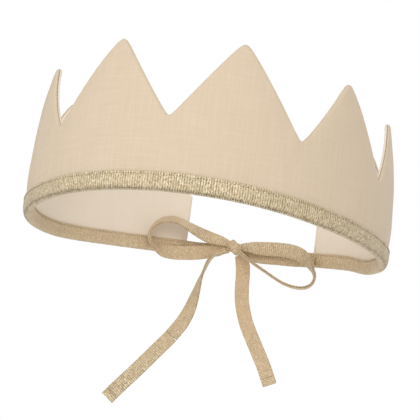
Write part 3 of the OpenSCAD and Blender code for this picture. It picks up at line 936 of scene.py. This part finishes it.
# Plain weave with uneven threads and slubs
def weaveGroup():
    group, given, out = newGroup(
        "threadWeave",
        [("At", "Vector", None), ("Pitch", "Float", 0.0005), ("Slub", "Float", 0.5)],
        [("Height", "Float"), ("Tone", "Float")])
    drift = addNode(group, "TexNoise", {"Vector": given["At"], "Scale": 260.0, "Detail": 2.0}).outputs["Color"]
    pushed = stretched(group, drift, (0.00022, 0.00022, 0.0))
    at = addNode(group, "VectorMath", {0: given["At"], 1: pushed}, operation="ADD").outputs[0]
    parts = addNode(group, "SeparateXYZ", {0: at}).outputs
    turns = [calc(group, "MULTIPLY", calc(group, "DIVIDE", parts[k], given["Pitch"]), math.pi)
             for k in (0, 1)]
    sines = [calc(group, "SINE", t) for t in turns]
    over = mapped(group, calc(group, "MULTIPLY", *sines), -0.35, 0.35)
    warp, weft = (calc(group, "POWER", calc(group, "ABSOLUTE", s), 0.7) for s in sines)
    warpHeight = calc(group, "MULTIPLY", warp, calc(group, "MULTIPLY_ADD", over, 0.5, 0.5))
    under = calc(group, "SUBTRACT", 1.0, over)
    weftHeight = calc(group, "MULTIPLY", weft, calc(group, "MULTIPLY_ADD", under, 0.5, 0.5))
    threads = calc(group, "MAXIMUM", warpHeight, weftHeight)
    runs = []
    for scale in ((55.0, 1500.0, 1.0), (1300.0, 45.0, 1.0)):
        drawn = stretched(group, given["At"], scale)
        runs.append(addNode(group, "TexNoise", {"Vector": drawn, "Scale": 1.0, "Detail": 3.0}).outputs["Fac"])
    slubs = mapped(group, calc(group, "MAXIMUM", *runs), 0.5, 0.78)
    lanes = calc(group, "ADD", *runs)
    raised = calc(group, "MULTIPLY", slubs, given["Slub"])
    plug(group, out["Height"], calc(group, "ADD", threads, raised))
    tone = calc(group, "MULTIPLY_ADD", threads, 0.35, calc(group, "MULTIPLY", lanes, 0.45))
    plug(group, out["Tone"], calc(group, "ADD", tone, calc(group, "MULTIPLY", raised, 0.35)))
    return group


# Metal threads between the ribs of the ribbon: flakes with glints painted lighter where they would catch the
# light, and dark gaps
def glitterGroup():
    group, given, out = newGroup(
        "ribbonGlitter",
        [("At", "Vector", None), ("Flake", "Float", 0.00055), ("Rib Pitch", "Float", 0.00105)],
        [("Spark", "Float"), ("Gap", "Float"), ("Height", "Float"), ("Tone", "Float"), ("Fold Shade Dashes", "Float")])
    parts = addNode(group, "SeparateXYZ", {0: given["At"]}).outputs
    scaled = [calc(group, "DIVIDE", parts[0], given["Flake"]),
              calc(group, "MULTIPLY", calc(group, "DIVIDE", parts[1], given["Flake"]), 0.62)]
    at = addNode(group, "CombineXYZ", {0: scaled[0], 1: scaled[1],
                                       2: calc(group, "DIVIDE", parts[2], 0.0012)}).outputs[0]
    cells = addNode(group, "TexVoronoi", {"Vector": at, "Scale": 1.0, "Randomness": 0.85})
    luck = addNode(group, "SeparateColor", {0: cells.outputs["Color"]}).outputs
    turn = calc(group, "MULTIPLY", calc(group, "DIVIDE", parts[0], given["Rib Pitch"]), 2 * math.pi)
    rib = calc(group, "MULTIPLY_ADD", calc(group, "COSINE", turn), 0.5, 0.5)
    spark = mapped(group, calc(group, "MULTIPLY_ADD", rib, 0.25, luck[0]), 0.78, 0.98)
    gap = mapped(group, calc(group, "MULTIPLY_ADD", calc(group, "SUBTRACT", 1.0, rib), 0.8, luck[1]), 0.8, 1.5)
    # Slanted dashes for the painted shade along the hem's fold
    slanted = calc(group, "SINE", calc(group, "MULTIPLY_ADD", parts[1], 900.0, turn))
    plug(group, out["Fold Shade Dashes"], mapped(group, calc(group, "MULTIPLY_ADD", luck[1], 0.6, slanted), 0.35, 0.75))
    plug(group, out["Spark"], spark)
    plug(group, out["Gap"], gap)
    plug(group, out["Tone"], luck[2])
    low = calc(group, "SUBTRACT", calc(group, "MULTIPLY", luck[0], 0.6), gap)
    plug(group, out["Height"], calc(group, "ADD", low, calc(group, "MULTIPLY", rib, 0.5)))
    return group


# Broad, faint changes of colour, as handled cloth has
def handledGroup():
    group, given, out = newGroup("handledTone", [("Size", "Float", 28.0)], [("Tone", "Float")])
    place = addNode(group, "TexCoord").outputs["Object"]
    broad = addNode(group, "TexNoise", {"Vector": place, "Scale": given["Size"], "Detail": 4.0,
                                        "Roughness": 0.6}).outputs["Fac"]
    plug(group, out["Tone"], mapped(group, broad, 0.3, 0.7))
    return group


weave, glitter, handled = weaveGroup(), glitterGroup(), handledGroup()


def newMaterial(name, roughness, **constants):
    material = bpy.data.materials.new(name)
    material.use_nodes = True
    tree = material.node_tree
    shader = tree.nodes["Principled BSDF"]
    shader.inputs["Roughness"].default_value = roughness
    for key, value in constants.items():
        shader.inputs[key.replace("_", " ")].default_value = value
    at = addNode(tree, "Attribute", attribute_name="clothAt", attribute_type="GEOMETRY").outputs["Vector"]
    return material, tree, shader, at


def placed(tree, group, inputs):
    node = tree.nodes.new("ShaderNodeGroup")
    node.node_tree = group
    for key, value in inputs.items():
        plug(tree, node.inputs[key], value)
    return node.outputs


def bumped(tree, shader, height, strength, distance):
    bump = addNode(tree, "Bump", {"Strength": strength, "Distance": distance, "Height": height})
    plug(tree, shader.inputs["Normal"], bump.outputs["Normal"])


def wovenCloth(name, look):
    material, tree, shader, at = newMaterial(
        name, look["roughness"], Sheen_Weight=look["sheen"], Sheen_Roughness=0.45, Specular_IOR_Level=0.25)
    threads = placed(tree, weave, {"At": at, "Pitch": look["pitch"] * mm, "Slub": look["slub"]})
    broad = placed(tree, handled, {"Size": 26.0})["Tone"]
    tone = mapped(tree, threads["Tone"], 0.25, 0.95)
    colour = mixed(tree, tone, look["dark"], look["light"])
    warm = mixed(tree, calc(tree, "MULTIPLY", broad, look["mottle"]), colour, look["warm"])
    plug(tree, shader.inputs["Base Color"], warm)
    bumped(tree, shader, threads["Height"], look["bump"], 0.00016)
    return material


linenLook = {"pitch": 0.44, "slub": 0.4, "roughness": 0.88, "sheen": 0.12, "bump": 0.5, "mottle": 0.35,
             "dark": (0.55, 0.435, 0.305, 1), "light": (0.655, 0.54, 0.405, 1), "warm": (0.60, 0.475, 0.335, 1)}
liningLook = {"pitch": 0.32, "slub": 0.15, "roughness": 0.8, "sheen": 0.1, "bump": 0.25, "mottle": 0.3,
              "dark": (0.75, 0.65, 0.525, 1), "light": (0.81, 0.715, 0.595, 1), "warm": (0.78, 0.67, 0.535, 1)}


def waddingCloth():
    material, tree, shader, at = newMaterial("needledWadding", 0.95, Sheen_Weight=0.3)
    fibres = addNode(tree, "TexNoise", {"Vector": stretched(tree, at, (900.0, 900.0, 900.0)), "Scale": 1.0,
                                        "Detail": 6.0}).outputs["Fac"]
    plug(tree, shader.inputs["Base Color"], mixed(tree, fibres, (0.78, 0.77, 0.73, 1), (0.92, 0.91, 0.88, 1)))
    bumped(tree, shader, fibres, 0.8, 0.0003)
    return material


# Colours of the ribbon: the first pair is the plain tan painted where the ribs don't catch the light, the pale
# gold is also painted on glints, and the last, darkest colour is painted shade along the hem's fold
ribbonLook = {
    "flake": 0.4,
    "paintedPlainTan": (0.54, 0.385, 0.225, 1), "paintedPlainTanPale": (0.71, 0.535, 0.345, 1),
    "gold": (0.485, 0.372, 0.215, 1), "goldDark": (0.20, 0.14, 0.065, 1), "goldLight": (0.76, 0.655, 0.46, 1),
    "paintedFoldShade": (0.045, 0.03, 0.015, 1),
}


# Ribbed metallic ribbon. Where its painted sheen is low a plain tan is painted in place of glitter, for ribs
# that don't catch the light; the sparks are painted glints, and dark dashes paint shade along the hem's fold
def goldRibbon():
    material, tree, shader, at = newMaterial("goldRibbon", 0.5, Sheen_Weight=0.15, Specular_IOR_Level=0.4)
    paintedSheenAndShade = addNode(tree, "Attribute", attribute_name="paintedSheenAndShade", attribute_type="GEOMETRY").outputs["Fac"]
    flakes = placed(tree, glitter, {"At": at, "Flake": ribbonLook["flake"] * mm,
                                    "Rib Pitch": strip["ribPitch"] * mm})
    broad = placed(tree, handled, {"Size": 90.0})["Tone"]
    randomAndPaintedSheen = mapped(tree, calc(tree, "MULTIPLY_ADD", calc(tree, "SUBTRACT", broad, 0.5), 0.5, paintedSheenAndShade), 0.0, 1.0)
    # Dark dashes of painted shade along the underside of the hem's fold
    foldShadeMask = calc(tree, "MULTIPLY", mapped(tree, paintedSheenAndShade, 1.05, 1.45), flakes["Fold Shade Dashes"])  # along the hem's fold
    paintedPlainTan = mixed(tree, flakes["Tone"], ribbonLook["paintedPlainTan"], ribbonLook["paintedPlainTanPale"])
    half = mapped(tree, flakes["Tone"], 0.0, 1.0, 0.0, 0.5)
    gold = mixed(tree, half, ribbonLook["gold"], ribbonLook["goldLight"])
    # Glints painted lighter into the colour where the flakes would catch the light
    paintedGlints = mixed(tree, flakes["Spark"], gold, ribbonLook["goldLight"])
    glittery = mixed(tree, calc(tree, "MULTIPLY", flakes["Gap"], 0.85), paintedGlints, ribbonLook["goldDark"])
    plain = mixed(tree, randomAndPaintedSheen, paintedPlainTan, glittery)
    plug(tree, shader.inputs["Base Color"], mixed(tree, foldShadeMask, plain, ribbonLook["paintedFoldShade"]))
    sparks = calc(tree, "MULTIPLY", flakes["Spark"], randomAndPaintedSheen)
    plug(tree, shader.inputs["Metallic"], calc(tree, "MULTIPLY", sparks, 0.4))
    plug(tree, shader.inputs["Roughness"], calc(tree, "MULTIPLY_ADD", sparks, -0.25, 0.66))
    strength = calc(tree, "MULTIPLY", flakes["Height"], calc(tree, "MULTIPLY_ADD", randomAndPaintedSheen, 0.8, 0.2))
    bumped(tree, shader, strength, 0.5, 0.00014)
    return material


def threadCloth(name, dark, light):
    material, tree, shader, at = newMaterial(name, 0.7, Sheen_Weight=0.1)
    parts = addNode(tree, "SeparateXYZ", {0: at}).outputs
    twist = calc(tree, "MULTIPLY_ADD", parts[1], 2 * math.pi / mm, calc(tree, "MULTIPLY", parts[0], 9.0 / mm))
    ply = calc(tree, "MULTIPLY_ADD", calc(tree, "SINE", twist), 0.5, 0.5)
    plug(tree, shader.inputs["Base Color"], mixed(tree, ply, dark, light))
    bumped(tree, shader, ply, 0.6, 0.00006)
    return material


hemThread = threadCloth("hemSewingThread", (0.11, 0.075, 0.035, 1), (0.2, 0.145, 0.08, 1))
barThread = threadCloth("barSewingThread", (0.36, 0.27, 0.15, 1), (0.52, 0.41, 0.25, 1))
seamSewing = threadCloth("seamSewingThread", (0.30, 0.22, 0.13, 1), (0.42, 0.33, 0.21, 1))
gold = goldRibbon()
for piece, material in (
        (outerPanel, wovenCloth("naturalLinen", linenLook)),
        (liningPanel, wovenCloth("creamCotton", liningLook)),
        (waddingLayer, waddingCloth()), (hemRibbon, gold), (bowKnot, gold), (leftLoop, gold), (rightLoop, gold),
        (leftTailUpper, gold), (leftTailLower, gold), (rightTail, gold), (outerStitches, hemThread),
        (innerStitches, hemThread), (leftBar, barThread), (rightBar, barThread), (seamThread, seamSewing)):
    piece.data.materials.append(material)
for name in ("leftEndStitches", "rightEndStitches"):
    bpy.data.objects[name].data.materials.append(hemThread)
print("materials made")


# Stage and light
studio = {"floorDrop": 0.24, "floorSize": 8.0, "sky": 0.68}


def makeFloor():
    mesh = bpy.data.meshes.new("floor")
    size = studio["floorSize"]
    corners = ((-1, -1), (1, -1), (1, 1), (-1, 1))
    mesh.from_pydata([(x * size, y * size, -studio["floorDrop"]) for x, y in corners],
                     [], [(0, 1, 2, 3)])
    floor = bpy.data.objects.new("floor", mesh)
    bpy.context.scene.collection.objects.link(floor)
    material = bpy.data.materials.new("paleFloor")
    material.use_nodes = True
    material.node_tree.nodes["Principled BSDF"].inputs["Base Color"].default_value = (0.86, 0.86, 0.86, 1)
    material.node_tree.nodes["Principled BSDF"].inputs["Roughness"].default_value = 0.9
    mesh.materials.append(material)


def makeLight(name, place, size, power, aim=(0, 0, 0.02)):
    light = bpy.data.lights.new(name, "AREA")
    light.shape = "DISK"
    light.size = size
    light.energy = power
    lamp = bpy.data.objects.new(name, light)
    lamp.location = place
    lamp.rotation_euler = (Vector(aim) - Vector(place)).to_track_quat("-Z", "Y").to_euler()
    bpy.context.scene.collection.objects.link(lamp)


# White as the camera sees it, and softer as a light
def makeSky():
    world = bpy.data.worlds.new("studio")
    bpy.context.scene.world = world
    world.use_nodes = True
    tree = world.node_tree
    sky = tree.nodes["Background"]
    seen = addNode(tree, "LightPath").outputs["Is Camera Ray"]
    strength = mapped(tree, seen, 0.0, 1.0, studio["sky"], 1.0)
    sky.inputs["Color"].default_value = (1, 1, 1, 1)
    plug(tree, sky.inputs["Strength"], strength)


makeFloor()
makeSky()
makeLight("keyLight", (0.45, -1.15, 0.6), 0.8, 5.2)
makeLight("fillLight", (-1.0, -0.9, 0.35), 0.9, 4)
makeLight("lowLight", (0.2, -1.1, -0.1), 0.6, 2.2)
makeLight("backLight", (0.2, 1.2, 0.8), 0.9, 7)
bpy.context.scene.view_settings.view_transform = "Standard"
print("studio made")
